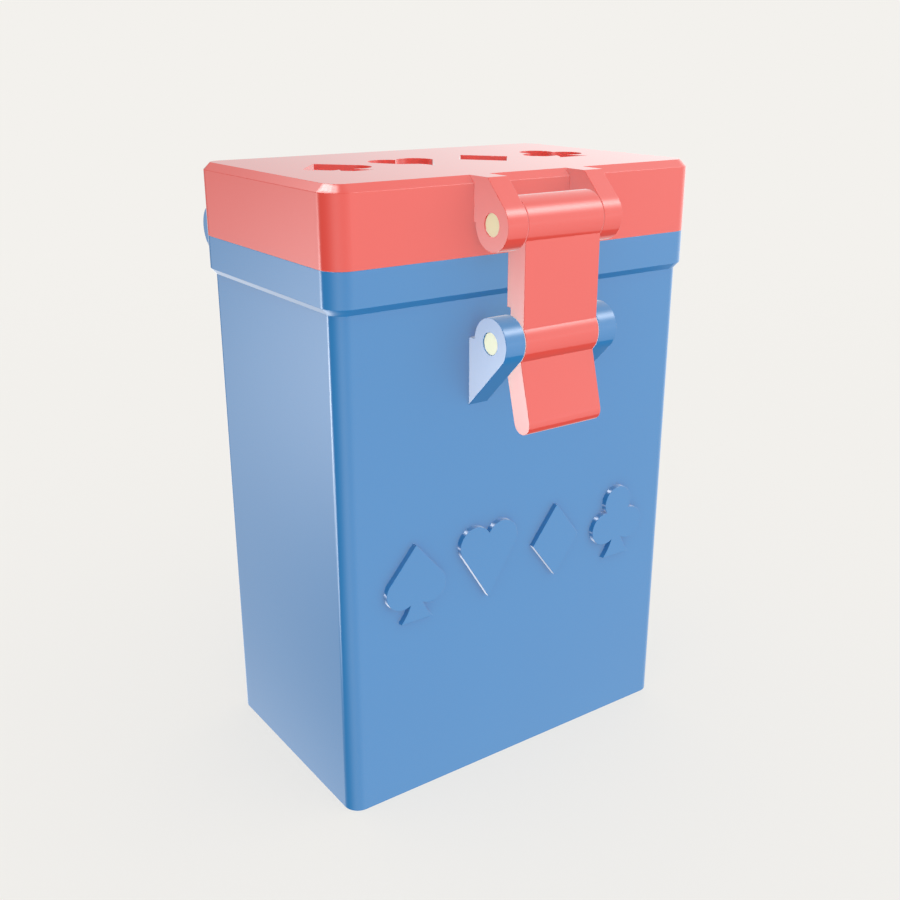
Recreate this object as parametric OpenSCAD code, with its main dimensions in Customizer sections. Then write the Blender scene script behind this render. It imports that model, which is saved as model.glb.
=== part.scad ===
// Upright case for two decks of cards: a deep body, a lid hinged along the back and a pull latch
// on the front. The origin is the middle of the underside, +Z is up and the latch faces -Y.

/* [Case] */
// Width over the rim and the lid
case_w = 74; // [72:1:90]
// Depth over the rim and the lid, without the hinges and the latch
case_d = 46.6; // [34:0.2:60]
// Height of the body, up to the joint with the lid
body_h = 95.2; // [90:0.2:120]
// Height of the lid
lid_h = 12.4; // [12:0.2:18]
// Thickness of the body's walls, its floor and the lid's top
wall = 2.4; // [2:0.2:2.8]
// Radius of the body's upright corners
corner_r = 2.75; // [2.5:0.25:5]

/* [Rim] */
// How far the rim and the lid stand out beyond the body
rim_step = 1; // [0.6:0.1:1.4]
// Height of the plain band of the rim
rim_band = 5.7; // [4:0.1:8]
// Height of the slope under that band
rim_slope = 1.1; // [0.6:0.1:2]
// Width of the bevel round the top of the lid
lid_bevel = 1.2; // [0.6:0.1:1.6]
// Height of the lip that centres the lid
lip_h = 1.6; // [1:0.1:2.5]
// Thickness of the lip
lip_t = 1.2; // [0.8:0.1:1.4]
// Gap round the lip when the lid is shut
lip_gap = 0.25; // [0.2:0.05:0.4]

/* [Pins and knuckles] */
// Diameter of all the pins
pin_d = 3.7; // [3:0.1:4]
// Radius of the ears and knuckles round their pin
knuckle_r = 4.15; // [3.6:0.05:4.2]
// Distance of a pin's axis from the face of the rim
pin_out = 4.6; // [4.5:0.1:5]
// Width of the moving knuckle that sits between two ears
knuckle_w = 15.2; // [12:0.2:16]
// Thickness of an ear
ear_t = 3.8; // [3:0.1:4]
// Gap between an ear and the knuckle beside it
side_gap = 0.15; // [0.1:0.05:0.3]
// Radial clearance of a knuckle that turns on its pin
run_gap = 0.05; // [0.03:0.01:0.1]
// Radial squeeze that holds a pin in its ears
press = 0.02; // [0.01:0.01:0.03]
// Depth of a pin's end below the face of its ear
pin_recess = 0.2; // [0.1:0.1:0.5]
// Distance of each hinge's middle from the middle of the case
hinge_x = 21.3; // [20:0.1:22]

/* [Latch] */
// Height of the lever's pin above the joint with the lid
latch_rise = 5.4; // [5:0.1:6]
// Distance from the lever's pin down to the catch pin
latch_reach = 18.5; // [18:0.5:22]
// Thickness of the lever's plate
plate_t = 4.3; // [3.6:0.1:4.4]
// Distance from the pins' axes to the front of the plate
plate_front = 3.4; // [3:0.1:3.6]
// Height above the catch pin at which the plate becomes thinner
jaw_h = 5.3; // [4.4:0.1:6]
// Radial gap between the jaw and the catch pin
jaw_gap = 0.25; // [0.2:0.05:0.35]
// Distance from the catch pin to the middle of the tail's round end
tail_l = 13.4; // [10:0.2:18]
// Thickness of the tail
tail_t = 4; // [3.4:0.1:4.2]
// Angle at which the tail stands away from the case
tail_angle = 15; // [10:1:20]

/* [Pips] */
// Height of one card pip
pip_h = 14; // [10:0.5:14.5]
// Distance between the middles of two pips
pip_pitch = 15.2; // [14.8:0.1:16]
// Height of the row's middle on the front of the body
pip_z = 41.6; // [30:0.2:60]
// How far the pips stand out of the front and are sunk into the lid
pip_relief = 1; // [0.5:0.1:1.4]

/* [Hidden] */
$fn = 64;
// Material shared by two shapes that are fused
bite = 1;
// Overshoot of a cutting shape
over = 1;
// How far a straight side runs inside the round end that it joins, so that it crosses the arc
dip = 0.02;
body_w = case_w - 2 * rim_step;
body_d = case_d - 2 * rim_step;
rim_r = corner_r + rim_step;
well_w = body_w - 2 * wall;
well_d = body_d - 2 * wall;
well_r = max(corner_r - wall, 0.6);
top_z = body_h + lid_h;
band_z = body_h - rim_band;
slope_z = band_z - rim_slope;
// The lip runs along the front and the sides, and stops short of the hinges
lip_end = well_d / 2 - 4;
pin_r = pin_d / 2;
pin_bevel = 0.25;
pin_l = knuckle_w + 2 * (side_gap + ear_t - pin_recess);
// Axes, as Y and Z
hinge_y = case_d / 2 + pin_out;
latch_y = -hinge_y;
latch_z = body_h + latch_rise;
catch_z = latch_z - latch_reach;
// Lever and lid open through equal angles. The catch pin then leaves the jaw along this slope,
// measured below the level, and the lower lip of the jaw is cut back to let it out.
catch_below = body_h - catch_z;
exit_angle = atan2(2 * hinge_y, catch_below + latch_reach);
exit_l = 14;

// Rectangle with round corners, centred on the origin
module round_rect(w, d, r) {
    square([w - 2 * r, d], center = true);
    square([w, d - 2 * r], center = true);
    for (x = [-1, 1], y = [-1, 1])
        translate([x * (w / 2 - r), y * (d / 2 - r)]) circle(r);
}

module round_block(w, d, r, h) {
    linear_extrude(h) round_rect(w, d, r);
}

// Block with round corners whose four sides lean outwards by grow over its height
module leaning_block(w, d, r, h, grow) {
    module side(span, length) {
        rotate([90, 0, 90]) linear_extrude(length, center = true)
            polygon([[-span / 2, 0], [span / 2, 0], [span / 2 + grow, h], [-span / 2 - grow, h]]);
    }
    side(d, w - 2 * r);
    rotate([0, 0, 90]) side(w, d - 2 * r);
    for (x = [-1, 1], y = [-1, 1])
        translate([x * (w / 2 - r), y * (d / 2 - r), 0]) cylinder(h = h, r1 = r, r2 = r + grow);
}

// Stands an outline up across the front (-1) or the back (1) of the case. The outline's X
// points away from the case and its Y points up.
module across(face, length) {
    rotate([90, 0, 90 * face]) linear_extrude(length, center = true) children();
}

// Side view of an ear or a fixed knuckle about its pin: a round end and a web that runs back
// into the wall. rise is 1 where the web climbs from the pin and -1 where it drops, and
// limit is the most that it may climb.
module ear_outline(root, rise, limit = 100) {
    k = (knuckle_r - dip) * sin(45);
    full = root + 2 * k;
    cut = min(full, limit);
    tip = cut < full ? [[2 * k - cut, rise * cut]] : [];
    circle(knuckle_r);
    polygon(concat([[0, 0], [k, rise * k]], tip, [[-root, rise * cut], [-root, 0]]));
}

// A pair of ears with room for a moving knuckle between them
module ear_pair(face, root, rise, limit = 100) {
    for (x = [-1, 1])
        translate([x * (knuckle_w + 2 * side_gap + ear_t) / 2, 0, 0])
            across(face, ear_t) ear_outline(root, rise, limit);
}

// Round bore along X
module bore(r, length) {
    rotate([0, 90, 0]) cylinder(h = length, r = r, center = true);
}

module ear_bore() {
    bore(pin_r - press, pin_l + 2 * pin_recess + 2 * over);
}

// Plain pin along X with a small bevel at each end
module pin() {
    half = pin_l / 2;
    rotate([0, 90, 0]) rotate_extrude()
        polygon([[0, -half], [pin_r - pin_bevel, -half], [pin_r, pin_bevel - half],
                 [pin_r, half - pin_bevel], [pin_r - pin_bevel, half], [0, half]]);
}

// Two round lobes that meet in a point below, as in a heart
module lobes(r, spread, drop) {
    reach = norm([spread, drop]);
    inner = r - 2 * dip;
    lean = atan2(drop, spread) - asin(inner / reach);
    touch = sqrt(reach * reach - inner * inner);
    for (x = [-1, 1])
        translate([x * spread, 0]) circle(r);
    polygon([[0, -drop], [touch * cos(lean), touch * sin(lean) - drop], [spread, 0],
             [-spread, 0], [-touch * cos(lean), touch * sin(lean) - drop]]);
}

// Foot of a spade or a club: a block with a hollow arc on each side, standing on Y = 0
module pip_foot(w, h) {
    waist = w / 8;
    arc_r = (h * h + (w / 2 - waist) * (w / 2 - waist)) / (2 * (w / 2 - waist));
    difference() {
        translate([-w / 2, 0]) square([w, h]);
        for (x = [-1, 1])
            translate([x * (waist + arc_r), h]) circle(arc_r);
    }
}

module heart(h) {
    r = 0.235 * h;
    translate([0, h / 2 - r]) lobes(r, 0.205 * h, h - r);
}

module spade(h) {
    r = 0.225 * h;
    low = -0.08 * h;
    translate([0, low]) mirror([0, 1]) lobes(r, 0.2 * h, h / 2 - low);
    translate([0, -h / 2]) pip_foot(0.46 * h, h / 2 + low);
}

module diamond(h) {
    polygon([[0, -h / 2], [0.38 * h, 0], [0, h / 2], [-0.38 * h, 0]]);
}

module club(h) {
    r = 0.225 * h;
    low = -0.07 * h;
    translate([0, h / 2 - r]) circle(r);
    for (x = [-1, 1])
        translate([x * 0.215 * h, low]) circle(r);
    polygon([[0, h / 2 - r], [0.215 * h, low], [-0.215 * h, low]]);
    translate([0, -h / 2]) pip_foot(0.46 * h, h / 2 + low);
}

module pip_row(depth) {
    linear_extrude(depth) {
        translate([-1.5 * pip_pitch, 0]) spade(pip_h);
        translate([-0.5 * pip_pitch, 0]) heart(pip_h);
        translate([0.5 * pip_pitch, 0]) diamond(pip_h);
        translate([1.5 * pip_pitch, 0]) club(pip_h);
    }
}

// Solid band that follows the well's front and sides, spread outwards by t
module lip_band(t, end_y, h) {
    front = well_d / 2 + t;
    intersection() {
        round_block(well_w + 2 * t, 2 * front, well_r + t, h);
        translate([-well_w, -front - over, 0]) cube([2 * well_w, front + over + end_y, h]);
    }
}

module body_shell() {
    color("#3d7cc9") difference() {
        union() {
            round_block(body_w, body_d, corner_r, body_h);
            translate([0, 0, slope_z])
                leaning_block(body_w, body_d, corner_r, rim_slope, rim_step);
            translate([0, 0, band_z]) round_block(case_w, case_d, rim_r, rim_band);
            translate([0, 0, body_h - bite]) lip_band(lip_t, lip_end, lip_h + bite);
            translate([0, latch_y, catch_z]) ear_pair(-1, pin_out + rim_step + bite, -1);
            for (x = [-hinge_x, hinge_x])
                translate([x, hinge_y, body_h]) ear_pair(1, pin_out + rim_step + bite, -1);
            translate([0, bite - body_d / 2, pip_z]) rotate([90, 0, 0]) pip_row(pip_relief + bite);
        }
        translate([0, 0, wall]) round_block(well_w, well_d, well_r, body_h);
        translate([0, latch_y, catch_z]) ear_bore();
        for (x = [-hinge_x, hinge_x])
            translate([x, hinge_y, body_h]) ear_bore();
    }
}

module lid_shell() {
    color("#f0544c") difference() {
        union() {
            translate([0, 0, body_h]) round_block(case_w, case_d, rim_r, lid_h - lid_bevel);
            translate([0, 0, top_z - lid_bevel])
                leaning_block(case_w, case_d, rim_r, lid_bevel, -lid_bevel);
            translate([0, latch_y, latch_z])
                ear_pair(-1, pin_out + lid_bevel + bite, 1, top_z - latch_z);
            for (x = [-hinge_x, hinge_x])
                translate([x, hinge_y, body_h])
                    across(1, knuckle_w) ear_outline(pin_out + bite, 1);
        }
        translate([0, 0, body_h - over]) round_block(well_w, well_d, well_r, lid_h - wall + over);
        translate([0, 0, body_h - over])
            lip_band(lip_t + lip_gap, lip_end + lip_gap, lip_h + lip_gap + over);
        translate([0, 0, top_z - pip_relief]) pip_row(pip_relief + over);
        translate([0, latch_y, latch_z]) ear_bore();
        for (x = [-hinge_x, hinge_x])
            translate([x, hinge_y, body_h]) bore(pin_r + run_gap, knuckle_w + 2 * over);
    }
}

// Side view of the tail, from the catch pin's axis down and away from the case
module tail_outline() {
    rotate(tail_angle) {
        translate([-tail_t / 2, -tail_l]) square([tail_t, tail_l]);
        translate([0, -tail_l]) circle(tail_t / 2);
    }
}

// Cut for the catch pin: a round seat, open behind, and the slope that lets the pin out
module jaw_cut() {
    r = pin_r + jaw_gap;
    seat = (r - dip) * [sin(exit_angle), -cos(exit_angle)];
    exit = [-exit_l * cos(exit_angle), -exit_l * sin(exit_angle)];
    circle(r);
    polygon([[0, r], [-exit_l, r], [-exit_l, exit.y], seat + exit, seat]);
}

module lever_outline() {
    difference() {
        union() {
            circle(knuckle_r);
            translate([plate_front - plate_t, jaw_h - latch_reach])
                square([plate_t, latch_reach - jaw_h]);
            translate([0, -latch_reach]) {
                square([plate_front, jaw_h + bite]);
                difference() {
                    circle(knuckle_r);
                    translate([-2 * knuckle_r, -knuckle_r - over])
                        square([2 * knuckle_r, 2 * (knuckle_r + over)]);
                }
                tail_outline();
            }
        }
        translate([0, -latch_reach]) jaw_cut();
    }
}

module latch_lever() {
    color("#f0544c") translate([0, latch_y, latch_z]) difference() {
        across(-1, knuckle_w) lever_outline();
        bore(pin_r + run_gap, knuckle_w + 2 * over);
    }
}

module latch_pin() {
    color("#ece4b8") translate([0, latch_y, latch_z]) pin();
}

module catch_pin() {
    color("#ece4b8") translate([0, latch_y, catch_z]) pin();
}

module hinge_pin_left() {
    color("#ece4b8") translate([-hinge_x, hinge_y, body_h]) pin();
}

module hinge_pin_right() {
    color("#ece4b8") translate([hinge_x, hinge_y, body_h]) pin();
}

body_shell();
lid_shell();
latch_lever();
latch_pin();
catch_pin();
hinge_pin_left();
hinge_pin_right();
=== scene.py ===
"""Card case with a hinged lid and a pull latch, dressed for a studio picture.

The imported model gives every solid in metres: the underside's middle is the origin, Z is up and the
latch faces -Y. This file keeps those places, softens the solids' edges as a mould does, gives them
their plastics, and sets the floor, the light and the camera.
"""

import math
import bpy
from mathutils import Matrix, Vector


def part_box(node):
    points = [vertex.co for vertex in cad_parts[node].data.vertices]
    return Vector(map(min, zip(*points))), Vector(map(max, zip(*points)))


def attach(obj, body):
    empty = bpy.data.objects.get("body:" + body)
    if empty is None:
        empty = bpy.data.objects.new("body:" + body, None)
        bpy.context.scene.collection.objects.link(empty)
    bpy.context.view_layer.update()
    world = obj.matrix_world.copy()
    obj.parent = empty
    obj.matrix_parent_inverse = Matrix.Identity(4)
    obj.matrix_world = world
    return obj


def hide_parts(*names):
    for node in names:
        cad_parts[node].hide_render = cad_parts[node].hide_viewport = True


bl_info = {
    "name": "Card Case Dressing",
    "version": (1, 0, 0),
    "blender": (4, 5, 0),
    "location": "View3D > Sidebar > Card Case",
    "description": "Dresses the packed solids of a hinged card case in moulded plastic",
    "category": "Object",
}

import bmesh
import bpy
from bpy.props import FloatProperty, IntProperty, PointerProperty, StringProperty
from mathutils import Matrix, Vector

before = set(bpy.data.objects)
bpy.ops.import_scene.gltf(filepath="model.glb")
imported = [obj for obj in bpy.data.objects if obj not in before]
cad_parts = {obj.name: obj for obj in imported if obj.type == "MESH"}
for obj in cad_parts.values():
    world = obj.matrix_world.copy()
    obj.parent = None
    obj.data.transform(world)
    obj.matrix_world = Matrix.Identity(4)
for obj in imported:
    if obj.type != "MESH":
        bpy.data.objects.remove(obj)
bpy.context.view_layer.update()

MM = 0.001


# Colours


def linear(hex_colour):
    """Turn an sRGB colour such as #E24D42 into the linear values that shaders read."""
    digits = hex_colour.lstrip("#")
    values = []
    for start in (0, 2, 4):
        part = int(digits[start:start + 2], 16) / 255
        values.append(part / 12.92 if part <= 0.04045 else ((part + 0.055) / 1.055) ** 2.4)
    return (*values, 1.0)


# Nodes

MATHS = "ShaderNodeMath"


def add_node(tree, kind, settings=None, inputs=None):
    """Add a node, set its settings, and link its inputs to sockets or set them to values."""
    node = tree.nodes.new(kind)
    for name, value in (settings or {}).items():
        setattr(node, name, value)
    for socket, value in (inputs or {}).items():
        if isinstance(value, bpy.types.NodeSocket):
            tree.links.new(value, node.inputs[socket])
        else:
            node.inputs[socket].default_value = value
    return node


def new_material(name):
    """Make an empty node material and return it with its tree."""
    material = bpy.data.materials.new(name)
    material.use_nodes = True
    material.node_tree.nodes.clear()
    return material, material.node_tree


def moulded_plastic(name, colour, shade, gloss):
    """Glossy plastic of one dyed colour, faintly cloudy, with an almost flat skin."""
    material, tree = new_material(name)
    place = add_node(tree, "ShaderNodeTexCoord").outputs["Object"]
    # The dye clouds over about 25 mm, by less than the eye names
    cloud = add_node(tree, "ShaderNodeTexNoise", None,
                     {"Vector": place, "Scale": 1 / (25 * MM), "Detail": 2.0, "Roughness": 0.5})
    dye = add_node(tree, "ShaderNodeMix", {"data_type": "RGBA"},
                   {0: cloud.outputs["Fac"], 6: linear(colour), 7: linear(shade)})
    # Handling leaves patches of slightly duller skin, about 9 mm across
    patch = add_node(tree, "ShaderNodeTexNoise", None,
                     {"Vector": place, "Scale": 1 / (9 * MM), "Detail": 3.0, "Roughness": 0.6})
    skin = add_node(tree, "ShaderNodeMapRange", None,
                    {0: patch.outputs["Fac"], 1: 0.3, 2: 0.7, 3: gloss * 0.9, 4: gloss * 1.15})
    # The mould's polish is a ripple of about 1.2 mm, a thousandth of a millimetre deep
    ripple = add_node(tree, "ShaderNodeTexNoise", None,
                      {"Vector": place, "Scale": 1 / (1.2 * MM), "Detail": 1.0, "Roughness": 0.4})
    relief = add_node(tree, "ShaderNodeBump", None,
                      {"Height": ripple.outputs["Fac"], "Strength": 1.0, "Distance": 0.001 * MM})
    shader = add_node(tree, "ShaderNodeBsdfPrincipled", None,
                      {"Base Color": dye.outputs[2], "Roughness": skin.outputs[0],
                       "Normal": relief.outputs["Normal"], "IOR": 1.5, "Specular IOR Level": 0.5})
    add_node(tree, "ShaderNodeOutputMaterial", None, {"Surface": shader.outputs["BSDF"]})
    return material


# Meshes

# Corners of the CAD's loose triangles that are this close, in metres, are one point
SAME_POINT = 1e-7
# Neighbours that turn by less than this lie in one flat face
SAME_FACE = math.radians(0.4)
# Arcs turn by 10 degrees at most from facet to facet, and real edges by 25 or more
EDGE_ANGLE = math.radians(18)


def finish_piece(obj, material, slot, body, *nodes):
    """Give a piece its material, and let it stand for CAD nodes on their body. The slot argument is
    not used.
    """
    obj.data.materials.clear()
    obj.data.materials.append(material)
    # The gloss mirrors the studio alone, as in the picture, and not the part beside it
    obj.visible_glossy = False
    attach(obj, body)
    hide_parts(*nodes)


def merged_copy(node, name):
    """Copy a CAD solid, merge its loose triangles and join the flat ones into whole faces."""
    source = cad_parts[node].data
    mesh = bpy.data.meshes.new(name)
    mesh.from_pydata([point.co for point in source.vertices], [],
                     [tuple(face.vertices) for face in source.polygons])
    work = bmesh.new()
    work.from_mesh(mesh)
    bmesh.ops.remove_doubles(work, verts=work.verts, dist=SAME_POINT)
    bmesh.ops.dissolve_limit(work, angle_limit=SAME_FACE, use_dissolve_boundaries=False,
                             verts=work.verts, edges=work.edges)
    for face in work.faces:
        face.smooth = True
    work.to_mesh(mesh)
    work.free()
    obj = bpy.data.objects.new(name, mesh)
    bpy.context.scene.collection.objects.link(obj)
    return obj


def soften(obj, width, steps):
    """Round every edge of a solid by a hair, and keep its wide faces flat."""
    bevel = obj.modifiers.new("soft_edges", "BEVEL")
    bevel.limit_method = "ANGLE"
    bevel.angle_limit = EDGE_ANGLE
    bevel.offset_type = "OFFSET"
    bevel.width = width
    bevel.segments = steps
    bevel.use_clamp_overlap = True
    bevel.miter_outer = "MITER_SHARP"
    flat = obj.modifiers.new("flat_faces", "WEIGHTED_NORMAL")
    flat.mode = "FACE_AREA"
    flat.weight = 50
    flat.keep_sharp = False


# The pins

# Faces across the quarter round at a pin's end, and round its rod
PIN_END_STEPS = 5
PIN_SIDES = 96
# A pin's face is flat if its normal's X is past this, as at the two ends, and smooth otherwise
PIN_END_TILT = 0.9995


def pin_tree():
    """Geometry Nodes tree of a turned pin: a rod along X with a quarter round at each end."""
    tree = bpy.data.node_groups.new("turned_pin", "GeometryNodeTree")
    for name, kind in (("Length", "Float"), ("Radius", "Float"), ("End Round", "Float"),
                       ("Centre", "Vector"), ("Material", "Material")):
        tree.interface.new_socket(name, in_out="INPUT", socket_type="NodeSocket" + kind)
    tree.interface.new_socket("Geometry", in_out="OUTPUT", socket_type="NodeSocketGeometry")
    given = add_node(tree, "NodeGroupInput").outputs

    # The spine's points are numbered from end to end, and each end is a quarter circle of them
    last = 2 * PIN_END_STEPS + 1
    index = add_node(tree, "GeometryNodeInputIndex").outputs[0]
    from_end = add_node(tree, MATHS, {"operation": "SUBTRACT"}, {0: last, 1: index}).outputs[0]
    step = add_node(tree, MATHS, {"operation": "MINIMUM"}, {0: index, 1: from_end}).outputs[0]
    turn = add_node(tree, MATHS, {"operation": "MULTIPLY"},
                    {0: step, 1: math.pi / 2 / PIN_END_STEPS}).outputs[0]
    cosine = add_node(tree, MATHS, {"operation": "COSINE"}, {0: turn}).outputs[0]
    sine = add_node(tree, MATHS, {"operation": "SINE"}, {0: turn}).outputs[0]

    # Each point's place along the axis
    half = add_node(tree, MATHS, {"operation": "MULTIPLY"}, {0: given["Length"], 1: 0.5}).outputs[0]
    core = add_node(tree, MATHS, {"operation": "SUBTRACT"},
                    {0: half, 1: given["End Round"]}).outputs[0]
    reach = add_node(tree, MATHS, {"operation": "MULTIPLY_ADD"},
                     {0: given["End Round"], 1: cosine, 2: core}).outputs[0]
    middle = add_node(tree, MATHS, {"operation": "SUBTRACT"}, {0: index, 1: last / 2}).outputs[0]
    side = add_node(tree, MATHS, {"operation": "SIGN"}, {0: middle}).outputs[0]
    along = add_node(tree, MATHS, {"operation": "MULTIPLY"}, {0: side, 1: reach}).outputs[0]

    # The pin's radius there
    waist = add_node(tree, MATHS, {"operation": "SUBTRACT"},
                     {0: given["Radius"], 1: given["End Round"]}).outputs[0]
    width = add_node(tree, MATHS, {"operation": "MULTIPLY_ADD"},
                     {0: given["End Round"], 1: sine, 2: waist}).outputs[0]

    line = add_node(tree, "GeometryNodeMeshLine", None, {"Count": last + 1})
    spot = add_node(tree, "ShaderNodeCombineXYZ", None, {"X": along})
    spread = add_node(tree, "GeometryNodeSetPosition", None,
                      {"Geometry": line.outputs[0], "Position": spot.outputs[0]})
    spine = add_node(tree, "GeometryNodeMeshToCurve", None, {"Mesh": spread.outputs[0]})
    ring = add_node(tree, "GeometryNodeCurvePrimitiveCircle", None,
                    {"Resolution": PIN_SIDES, "Radius": 1.0})
    rod = add_node(tree, "GeometryNodeCurveToMesh", None,
                   {"Curve": spine.outputs[0], "Profile Curve": ring.outputs[0], "Scale": width,
                    "Fill Caps": True})
    normal = add_node(tree, "GeometryNodeInputNormal").outputs["Normal"]
    parts = add_node(tree, "ShaderNodeSeparateXYZ", None, {"Vector": normal})
    tilt = add_node(tree, MATHS, {"operation": "ABSOLUTE"}, {0: parts.outputs["X"]}).outputs[0]
    smooth = add_node(tree, MATHS, {"operation": "LESS_THAN"},
                      {0: tilt, 1: PIN_END_TILT}).outputs[0]
    shaded = add_node(tree, "GeometryNodeSetShadeSmooth", None,
                      {"Geometry": rod.outputs[0], "Shade Smooth": smooth})
    point = add_node(tree, "GeometryNodePoints", None, {"Count": 1, "Position": given["Centre"]})
    placed = add_node(tree, "GeometryNodeInstanceOnPoints", None,
                      {"Points": point.outputs[0], "Instance": shaded.outputs[0]})
    real = add_node(tree, "GeometryNodeRealizeInstances", None, {"Geometry": placed.outputs[0]})
    dressed = add_node(tree, "GeometryNodeSetMaterial", None,
                       {"Geometry": real.outputs[0], "Material": given["Material"]})
    add_node(tree, "NodeGroupOutput", None, {"Geometry": dressed.outputs[0]})
    return tree


def run_tree(tree, name, inputs):
    """Run a Geometry Nodes tree and return its result as an object with a plain mesh."""
    holder = bpy.data.objects.new(name, bpy.data.meshes.new(name + "_start"))
    bpy.context.scene.collection.objects.link(holder)
    modifier = holder.modifiers.new(name, "NODES")
    modifier.node_group = tree
    for item in tree.interface.items_tree:
        if item.item_type == "SOCKET" and item.in_out == "INPUT" and item.name in inputs:
            modifier[item.identifier] = inputs[item.name]
    bpy.context.view_layer.update()
    graph = bpy.context.evaluated_depsgraph_get()
    mesh = bpy.data.meshes.new_from_object(holder.evaluated_get(graph))
    holder.modifiers.remove(modifier)
    holder.data = mesh
    mesh.name = name
    return holder


# Sizes and colours


class CardCaseSizes(bpy.types.PropertyGroup):
    """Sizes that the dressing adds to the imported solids."""

    edge_round: FloatProperty(
        name="Edge Round", description="Rounding of the mouldings' edges",
        default=0.06 * MM, min=0.02 * MM, max=0.4 * MM, subtype="DISTANCE", unit="LENGTH",
        precision=5)
    edge_steps: IntProperty(
        name="Edge Steps", description="Faces across one rounded edge",
        default=3, min=1, max=6)
    pin_round: FloatProperty(
        name="Pin Round", description="Rounding at the ends of the pins",
        default=0.06 * MM, min=0.02 * MM, max=0.25 * MM, subtype="DISTANCE", unit="LENGTH",
        precision=5)


class CardCaseColours(bpy.types.PropertyGroup):
    """Colours of the case and of its surroundings, as sRGB hex values, and its gloss."""

    body: StringProperty(name="Body", description="Blue of the deep body", default="#267BB8")
    body_shade: StringProperty(
        name="Body Shade", description="Blue of the dye's darker clouds", default="#2578B5")
    lid: StringProperty(name="Lid", description="Red of the lid and the lever", default="#E24D42")
    lid_shade: StringProperty(
        name="Lid Shade", description="Red of the dye's darker clouds", default="#DE4A3F")
    pin: StringProperty(name="Pins", description="Cream of the pins", default="#DCDC9F")
    pin_shade: StringProperty(
        name="Pin Shade", description="Cream of the dye's darker clouds", default="#D8D799")
    floor: StringProperty(
        name="Floor", description="Pale floor and background", default="#F3F1ED")
    gloss: FloatProperty(
        name="Gloss", description="Roughness of the mouldings' skin", default=0.05,
        min=0.02, max=0.6, subtype="FACTOR")
    pin_gloss: FloatProperty(
        name="Pin Gloss", description="Roughness of the pins' skin", default=0.08,
        min=0.02, max=0.6, subtype="FACTOR")


# Pieces


class CARDCASE_OT_body(bpy.types.Operator):
    """Dress the deep blue body with its rim, ears and raised pips"""

    bl_idname = "card_case.body"
    bl_label = "Body"

    def execute(self, context):
        sizes, colours = context.scene.card_case_sizes, context.scene.card_case_colours
        body = merged_copy("body_shell", "case_body")
        soften(body, sizes.edge_round, sizes.edge_steps)
        # Moulded ABS: an even deep dye under a glassy skin that mirrors the lamps
        plastic = moulded_plastic("blue_abs_moulded", colours.body, colours.body_shade,
                                  colours.gloss)
        finish_piece(body, plastic, "blue_plastic", "box", "body_shell")
        return {"FINISHED"}


class CARDCASE_OT_lid(bpy.types.Operator):
    """Dress the red lid with its bevel, ears, knuckles and sunk pips"""

    bl_idname = "card_case.lid"
    bl_label = "Lid"

    def execute(self, context):
        sizes, colours = context.scene.card_case_sizes, context.scene.card_case_colours
        lid = merged_copy("lid_shell", "case_lid")
        soften(lid, sizes.edge_round, sizes.edge_steps)
        # Moulded ABS, as the body's, in a warm red that the lever shares
        plastic = moulded_plastic("red_abs_moulded", colours.lid, colours.lid_shade,
                                  colours.gloss)
        finish_piece(lid, plastic, "red_plastic", "lid", "lid_shell")
        return {"FINISHED"}


class CARDCASE_OT_lever(bpy.types.Operator):
    """Dress the red lever with its knuckle, jaw and tail"""

    bl_idname = "card_case.lever"
    bl_label = "Lever"

    def execute(self, context):
        sizes = context.scene.card_case_sizes
        lever = merged_copy("latch_lever", "pull_lever")
        soften(lever, sizes.edge_round, sizes.edge_steps)
        finish_piece(lever, bpy.data.materials["red_abs_moulded"], "red_plastic", "latch",
                     "latch_lever")
        # It keeps no even light from the case behind it, as in the picture
        lever.visible_diffuse = False
        return {"FINISHED"}


class CARDCASE_OT_pins(bpy.types.Operator):
    """Turn the four cream pins, each on the CAD pin that it stands for"""

    bl_idname = "card_case.pins"
    bl_label = "Pins"

    def execute(self, context):
        sizes, colours = context.scene.card_case_sizes, context.scene.card_case_colours
        # Turned acetal: a waxy cream, a little duller than the mouldings
        plastic = moulded_plastic("cream_acetal_turned", colours.pin, colours.pin_shade,
                                  colours.pin_gloss)
        tree = pin_tree()
        homes = {"latch_pin": "lid", "catch_pin": "box",
                 "hinge_pin_left": "box", "hinge_pin_right": "box"}
        for node, body in homes.items():
            low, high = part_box(node)
            pin = run_tree(tree, node + "_turned", {
                "Length": high.x - low.x, "Radius": (high.y - low.y) / 2,
                "End Round": sizes.pin_round, "Centre": (low + high) / 2, "Material": plastic})
            finish_piece(pin, plastic, "cream_plastic", body, node)
        return {"FINISHED"}


# Light

# What the gloss mirrors. Each glow has the azimuth and elevation of its middle in degrees, its
# sharpness (40 fades to a half at 11 degrees, 5 at 31 degrees) and its brightness there. The
# floor and the walls glow widely, and the lamps are narrower.
FLOOR = {
    "front_floor": (-68, -25, 5.4, 2.0),
    "left_floor": (-133, -21, 6.0, 2.05),
}
WALLS = {
    "right_wall": (5, 9, 2.7, 1.5),
    "ceiling": (-25, 67, 2.0, 1.26),
}
LAMPS = {
    "key": (-38, 39.7, 39, 8.5),
    "key_skirt": (-50, 10, 19, 1.5),
    "low_left": (132.5, -17, 170, 8.0),
    "low_left_foot": (143, -25, 230, 7.0),
    "low_left_glow": (126, -14, 45, 3.5),
    "behind_foot": (106, 36, 80, 5.6),
    "behind_low": (115, 47, 100, 10.5),
    "behind_middle": (129, 57.5, 90, 12.0),
    "behind_high": (150, 68, 90, 13.0),
    "behind_top": (190, 79, 80, 9.0),
    "below_behind": (98, -52, 16, 3.6),
    "behind": (75, -17, 62, 1.16),
}
# Height of a direction, as its Z, over which the floor and the walls end below the case
FLOOR_EDGE = (-0.71, -0.67)
# Height over which the floor's own glow falls at the horizon, and what is left of it above
HORIZON = (-0.02, 0.14)
HORIZON_LEFT = 0.45
# Brightness of the rest of the room
DIM_ROOM = 0.21
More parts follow.
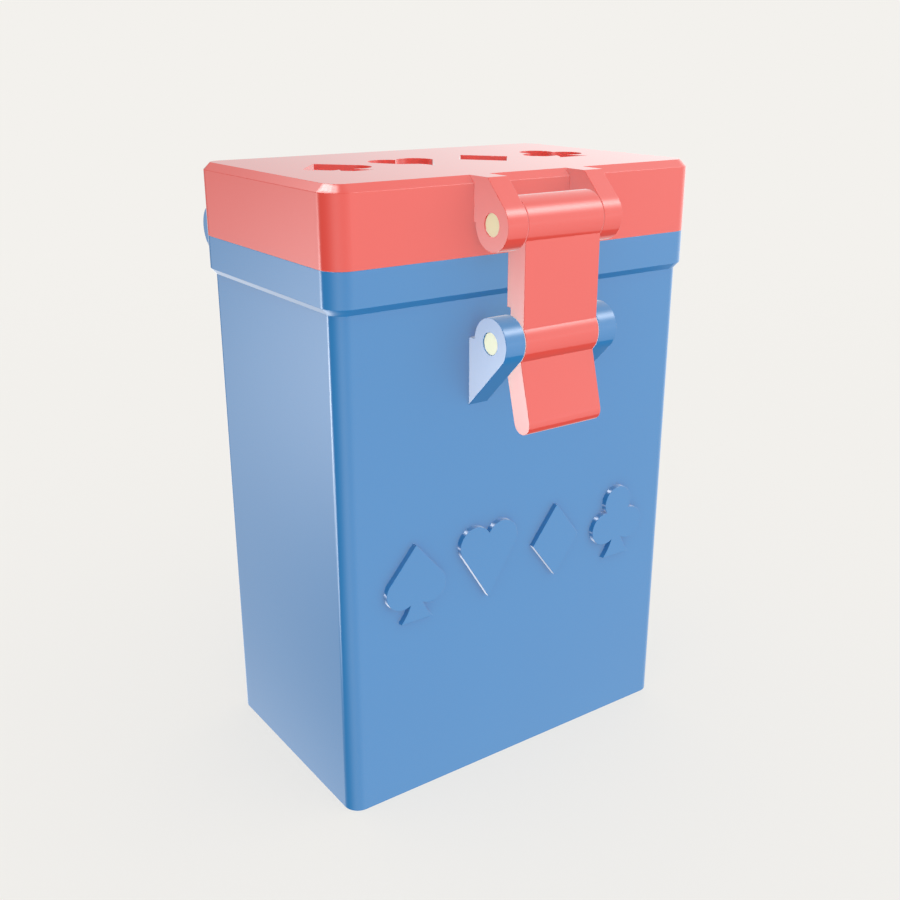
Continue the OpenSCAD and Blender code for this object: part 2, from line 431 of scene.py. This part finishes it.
# The even light is a little stronger from the front right
EVEN_FROM = (-53, 8)
EVEN_LEAN = 0.23


def heading(azimuth, elevation):
    """Direction from the case: 0 is right (+X), -90 is the front (-Y), 90 up is the zenith."""
    turn, lift = math.radians(azimuth), math.radians(elevation)
    return Vector((math.cos(turn) * math.cos(lift), math.sin(turn) * math.cos(lift),
                   math.sin(lift)))


def glow_sum(tree, look, group):
    """Brightness that one group of glows adds up to in each direction."""
    total = None
    for azimuth, elevation, sharpness, strength in group.values():
        cosine = add_node(tree, "ShaderNodeVectorMath", {"operation": "DOT_PRODUCT"},
                          {0: look, 1: heading(azimuth, elevation)}).outputs["Value"]
        fall = add_node(tree, MATHS, {"operation": "MULTIPLY_ADD"},
                        {0: cosine, 1: sharpness, 2: math.log(strength) - sharpness}).outputs[0]
        glow = add_node(tree, MATHS, {"operation": "EXPONENT"}, {0: fall}).outputs[0]
        if total is None:
            total = glow
        else:
            total = add_node(tree, MATHS, {"operation": "ADD"}, {0: total, 1: glow}).outputs[0]
    return total


def mirrored_studio(tree, look):
    """Brightness of the studio that the gloss mirrors."""
    height = add_node(tree, "ShaderNodeSeparateXYZ", None, {0: look}).outputs["Z"]
    above = add_node(tree, "ShaderNodeMapRange", {"interpolation_type": "SMOOTHSTEP"},
                     {0: height, 1: FLOOR_EDGE[0], 2: FLOOR_EDGE[1]}).outputs[0]
    low = add_node(tree, "ShaderNodeMapRange", {"interpolation_type": "SMOOTHSTEP"},
                   {0: height, 1: HORIZON[0], 2: HORIZON[1], 3: 1.0, 4: HORIZON_LEFT}).outputs[0]
    room = add_node(tree, MATHS, {"operation": "MULTIPLY_ADD"},
                    {0: glow_sum(tree, look, FLOOR), 1: low,
                     2: glow_sum(tree, look, WALLS)}).outputs[0]
    room = add_node(tree, MATHS, {"operation": "MULTIPLY_ADD"},
                    {0: room, 1: above, 2: DIM_ROOM}).outputs[0]
    return add_node(tree, MATHS, {"operation": "ADD"},
                    {0: room, 1: glow_sum(tree, look, LAMPS)}).outputs[0]


def studio_world(colour):
    """Even white light for the colours, soft lamps for the gloss and a plain pale background."""
    world = bpy.data.worlds.new("studio")
    world.use_nodes = True
    # The light is smooth, so each surface finds it better by itself than by a map of the world
    world.cycles.sampling_method = "NONE"
    tree = world.node_tree
    tree.nodes.clear()
    look = add_node(tree, "ShaderNodeTexCoord").outputs["Generated"]
    lamps = add_node(tree, "ShaderNodeBackground", None,
                     {"Color": (1.0, 1.0, 1.0, 1.0), "Strength": mirrored_studio(tree, look)})
    lean = add_node(tree, "ShaderNodeVectorMath", {"operation": "DOT_PRODUCT"},
                    {0: look, 1: heading(*EVEN_FROM)}).outputs["Value"]
    level = add_node(tree, MATHS, {"operation": "MULTIPLY_ADD"},
                     {0: lean, 1: EVEN_LEAN, 2: 1.0}).outputs[0]
    even = add_node(tree, "ShaderNodeBackground", None,
                    {"Color": (1.0, 1.0, 1.0, 1.0), "Strength": level})
    plain = add_node(tree, "ShaderNodeBackground", None,
                     {"Color": linear(colour), "Strength": 1.0})
    ray = add_node(tree, "ShaderNodeLightPath").outputs
    mirrored = add_node(tree, MATHS, {"operation": "MAXIMUM"},
                        {0: ray["Is Glossy Ray"], 1: ray["Is Transmission Ray"]}).outputs[0]
    light = add_node(tree, "ShaderNodeMixShader", None,
                     {0: mirrored, 1: even.outputs[0], 2: lamps.outputs[0]})
    both = add_node(tree, "ShaderNodeMixShader", None,
                    {0: ray["Is Camera Ray"], 1: light.outputs[0], 2: plain.outputs[0]})
    add_node(tree, "ShaderNodeOutputWorld", None, {"Surface": both.outputs[0]})
    bpy.context.scene.world = world


# Floor

# The floor is plain out to the first distance, and at the second it has faded away
FLOOR_FADE = (0.25, 0.6)
FLOOR_RADIUS = 0.65
FLOOR_SIDES = 96
# Part of the floor's colour that glows by itself, which keeps the case's shadow faint
FLOOR_GLOW = 0.75
# How brightly the even light falls on the floor
FLOOR_LIGHT = 1.05


def pale_floor(colour):
    """Matt pale floor: it takes the case's soft shadow and fades into the background."""
    material, tree = new_material("pale_matt_floor")
    # The paint is darker by what the light adds, so that it renders in the colour written
    red, green, blue, alpha = linear(colour)
    paint = add_node(tree, "ShaderNodeBsdfDiffuse", None,
                     {"Color": (red / FLOOR_LIGHT, green / FLOOR_LIGHT, blue / FLOOR_LIGHT,
                                alpha)})
    glow = add_node(tree, "ShaderNodeEmission", None, {"Color": linear(colour)})
    mixed = add_node(tree, "ShaderNodeMixShader", None,
                     {0: FLOOR_GLOW, 1: paint.outputs[0], 2: glow.outputs[0]})
    place = add_node(tree, "ShaderNodeTexCoord").outputs["Object"]
    reach = add_node(tree, "ShaderNodeVectorMath", {"operation": "LENGTH"},
                     {0: place}).outputs["Value"]
    fade = add_node(tree, "ShaderNodeMapRange", {"interpolation_type": "SMOOTHSTEP"},
                    {0: reach, 1: FLOOR_FADE[0], 2: FLOOR_FADE[1]}).outputs[0]
    clear = add_node(tree, "ShaderNodeBsdfTransparent")
    whole = add_node(tree, "ShaderNodeMixShader", None,
                     {0: fade, 1: mixed.outputs[0], 2: clear.outputs[0]})
    add_node(tree, "ShaderNodeOutputMaterial", None, {"Surface": whole.outputs[0]})
    return material


def lay_floor(colour):
    """Lay a round floor on the ground plane. It gives the case no light and hides none."""
    work = bmesh.new()
    bmesh.ops.create_circle(work, cap_ends=True, segments=FLOOR_SIDES, radius=FLOOR_RADIUS)
    mesh = bpy.data.meshes.new("floor")
    work.to_mesh(mesh)
    work.free()
    floor = bpy.data.objects.new("floor", mesh)
    bpy.context.scene.collection.objects.link(floor)
    floor.data.materials.append(pale_floor(colour))
    floor.visible_diffuse = False
    floor.visible_glossy = False
    floor.visible_shadow = False


# Camera

# Fitted to the picture: its place in millimetres, its angles in degrees, and its lens in
# millimetres on a sensor 36 mm wide
CAMERA_PLACE = (-113.52, -161.853, 125.182)
CAMERA_TURN = -35.13
CAMERA_LIFT = 19.875
CAMERA_ROLL = 0.027
CAMERA_LENS = 43.936
SENSOR_WIDTH = 36.0


def set_camera():
    """Set the camera at the picture's viewing angle."""
    lens = bpy.data.cameras.new("studio_camera")
    lens.sensor_fit = "HORIZONTAL"
    lens.sensor_width = SENSOR_WIDTH
    lens.lens = CAMERA_LENS
    lens.clip_start = 0.01
    lens.clip_end = 20.0
    camera = bpy.data.objects.new("studio_camera", lens)
    bpy.context.scene.collection.objects.link(camera)
    turn, lift = math.radians(CAMERA_TURN), math.radians(CAMERA_LIFT)
    roll = math.radians(CAMERA_ROLL)
    back = Vector((math.sin(turn) * math.cos(lift), -math.cos(turn) * math.cos(lift),
                   math.sin(lift)))
    right = (-back).cross(Vector((0, 0, 1))).normalized()
    up = right.cross(-back)
    axis_x = right * math.cos(roll) + up * math.sin(roll)
    axis_y = up * math.cos(roll) - right * math.sin(roll)
    turned = Matrix((axis_x, axis_y, back)).transposed().to_4x4()
    turned.translation = Vector(CAMERA_PLACE) * MM
    camera.matrix_world = turned
    bpy.context.scene.camera = camera


class CARDCASE_OT_stage(bpy.types.Operator):
    """Lay the floor and set the studio light and the camera"""

    bl_idname = "card_case.stage"
    bl_label = "Stage"

    def execute(self, context):
        colours = context.scene.card_case_colours
        studio_world(colours.floor)
        lay_floor(colours.floor)
        set_camera()
        context.scene.view_settings.view_transform = "Standard"
        return {"FINISHED"}


# Panel


class CARDCASE_PT_panel(bpy.types.Panel):
    """Buttons for the case's pieces and its stage"""

    bl_idname = "CARDCASE_PT_panel"
    bl_label = "Card Case"
    bl_space_type = "VIEW_3D"
    bl_region_type = "UI"
    bl_category = "Card Case"

    def draw(self, context):
        column = self.layout.column(align=True)
        for operator in OPERATORS:
            column.operator(operator.bl_idname)
        for group in (context.scene.card_case_sizes, context.scene.card_case_colours):
            box = self.layout.box()
            for name in group.__annotations__:
                box.prop(group, name)


OPERATORS = (CARDCASE_OT_body, CARDCASE_OT_lid, CARDCASE_OT_lever, CARDCASE_OT_pins,
             CARDCASE_OT_stage)
CLASSES = (CardCaseSizes, CardCaseColours, *OPERATORS, CARDCASE_PT_panel)


def register():
    """Register the classes and hang the sizes and colours on the scene."""
    for item in CLASSES:
        bpy.utils.register_class(item)
    bpy.types.Scene.card_case_sizes = PointerProperty(type=CardCaseSizes)
    bpy.types.Scene.card_case_colours = PointerProperty(type=CardCaseColours)


def unregister():
    """Take the sizes, the colours and the classes away again."""
    del bpy.types.Scene.card_case_colours
    del bpy.types.Scene.card_case_sizes
    for item in reversed(CLASSES):
        bpy.utils.unregister_class(item)


def main():
    """Make every piece and the stage."""
    register()
    bpy.ops.card_case.body()
    bpy.ops.card_case.lid()
    bpy.ops.card_case.lever()
    bpy.ops.card_case.pins()
    bpy.ops.card_case.stage()
    bpy.context.view_layer.update()


if __name__ == "__main__":
    main()
